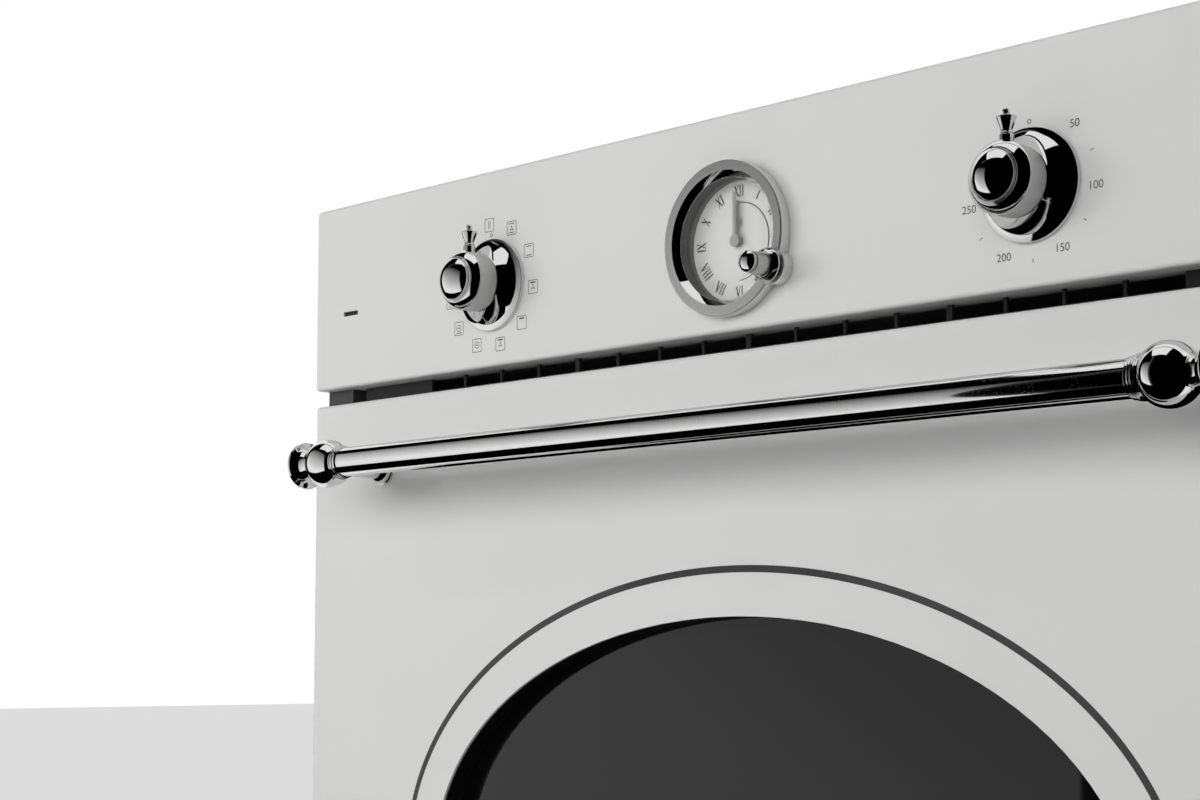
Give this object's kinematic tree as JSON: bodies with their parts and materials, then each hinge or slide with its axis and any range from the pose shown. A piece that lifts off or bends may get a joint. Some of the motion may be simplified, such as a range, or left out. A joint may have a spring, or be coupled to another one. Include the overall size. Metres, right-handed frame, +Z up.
{
  "type": "built-in oven",
  "caption": "Cabinet-mounted electric oven with an enamelled front, turned metal knobs, analogue clock, bar handle and drop-down door with an elliptical window.",
  "frame": {"origin": "under the middle of the whole oven, on the surface that the base plate rests on", "axes": "+X to the right of someone facing the oven, +Y into the cabinet, +Z up"},
  "size_m": [0.597, 0.6166, 0.5949],
  "materials": {
    "enamel_cream": "satin enamel",
    "enamel_grey": "gloss vitreous enamel",
    "galvanised_sheet": "galvanised",
    "polished_chrome": "polished",
    "machined_steel": "machined",
    "heater_sheath": "heat-tinted",
    "dark_glass": "tinted",
    "clear_glass": "clear",
    "dark_plastic": "satin",
    "dial_white": "matte",
    "glass_wool": "fibrous",
    "silicone": "matte"
  },
  "bodies": {
    "oven": {"control_panel": "enamel_cream", "cavity_liner": "enamel_grey", "front_frame": "enamel_grey", "fan_baffle": "enamel_grey", "base_plate": "galvanised_sheet", "left_side_panel": "galvanised_sheet", "right_side_panel": "galvanised_sheet", "top_cover": "galvanised_sheet", "rear_cover": "galvanised_sheet", "air_duct": "galvanised_sheet", "control_tray": "galvanised_sheet", "blower_housing": "galvanised_sheet", "hinge_arms": "galvanised_sheet", "casing_screws": "galvanised_sheet", "function_rosette": "polished_chrome", "temperature_rosette": "polished_chrome", "clock_bezel": "polished_chrome", "left_rack": "polished_chrome", "right_rack": "polished_chrome", "grill_element": "heater_sheath", "bottom_element": "heater_sheath", "ring_element": "heater_sheath", "clock_glass": "clear_glass", "oven_lamp": "clear_glass", "vent_grille": "dark_plastic", "indicator_lenses": "dark_plastic", "function_switch": "dark_plastic", "thermostat": "dark_plastic", "clock_movement": "dark_plastic", "cable_gland": "dark_plastic", "blower_motor": "dark_plastic", "convection_motor": "dark_plastic", "clock_dial": "dial_white", "insulation_blanket": "glass_wool", "door_gasket": "silicone"},
    "door": {"door_front_panel": "enamel_cream", "window_collar": "dark_plastic", "window_glass": "dark_glass", "inner_glass": "clear_glass", "door_left_channel": "galvanised_sheet", "door_right_channel": "galvanised_sheet", "door_top_trim": "dark_plastic", "handle_bar": "polished_chrome", "handle_finials": "polished_chrome", "handle_posts": "polished_chrome", "hinge_brackets": "galvanised_sheet"},
    "function_control": {"function_knob": "polished_chrome", "function_lever": "polished_chrome", "function_spindle": "machined_steel"},
    "temperature_control": {"temperature_knob": "polished_chrome", "temperature_lever": "polished_chrome", "temperature_spindle": "machined_steel"},
    "clock_setting_spindle": {"clock_spindle": "machined_steel"},
    "clock_setting_knob": {"clock_knob": "polished_chrome"},
    "minute_hand": {"minute_hand": "machined_steel"},
    "hour_hand": {"hour_hand": "machined_steel"},
    "hot_air_fan": {"fan_wheel": "machined_steel"},
    "cooling_blower": {"blower_wheel": "machined_steel"},
    "shelf": {"wire_shelf": "polished_chrome"},
    "tray": {"baking_tray": "enamel_grey"}
  },
  "joints": [
    {"name": "door_hinge", "type": "hinge", "parent": "oven", "child": "door", "pos_m": [0, -0.24925, 0.01], "axis": [1, 0, 0], "range_deg": [0, 90], "stiffness_Nm_per_rad": 6, "springref_deg": -28.65},
    {"name": "function_turn", "type": "hinge", "parent": "oven", "child": "function_control", "pos_m": [-0.1563, -0.25875, 0.5374], "axis": [0, 1, 0], "range_deg": [0, 262]},
    {"name": "temperature_turn", "type": "hinge", "parent": "oven", "child": "temperature_control", "pos_m": [0.1563, -0.25875, 0.5374], "axis": [0, 1, 0], "range_deg": [0, 270]},
    {"name": "clock_setting_turn", "type": "hinge", "parent": "oven", "child": "clock_setting_spindle", "pos_m": [0.0279, -0.26875, 0.5221], "axis": [0, 1, 0], "continuous": true},
    {"name": "clock_setting_press", "type": "slide", "parent": "clock_setting_spindle", "child": "clock_setting_knob", "axis": [0, 1, 0], "range_m": [0, 0.0025], "stiffness_N_per_m": 300, "springref_m": -0.0015},
    {"name": "minute_hand_turn", "type": "hinge", "parent": "oven", "child": "minute_hand", "pos_m": [0, -0.25875, 0.5382], "axis": [0, 1, 0], "continuous": true},
    {"name": "hour_hand_turn", "type": "hinge", "parent": "oven", "child": "hour_hand", "pos_m": [0, -0.25875, 0.5382], "axis": [0, 1, 0], "continuous": true},
    {"name": "hot_air_fan_spin", "type": "hinge", "parent": "oven", "child": "hot_air_fan", "pos_m": [0, 0.17125, 0.2605], "axis": [0, 1, 0], "continuous": true},
    {"name": "cooling_blower_spin", "type": "hinge", "parent": "oven", "child": "cooling_blower", "pos_m": [0, 0.16125, 0.515], "axis": [1, 0, 0], "continuous": true},
    {"name": "shelf_slide", "type": "slide", "parent": "oven", "child": "shelf", "axis": [0, -1, 0], "range_m": [0, 0.038]},
    {"name": "tray_slide", "type": "slide", "parent": "oven", "child": "tray", "axis": [0, -1, 0], "range_m": [0, 0.038]}
  ],
  "couplings": [
    {"joint": "minute_hand_turn", "follows": "clock_setting_turn", "ratio": 1},
    {"joint": "hour_hand_turn", "follows": "clock_setting_turn", "ratio": 0.083333}
  ]
}
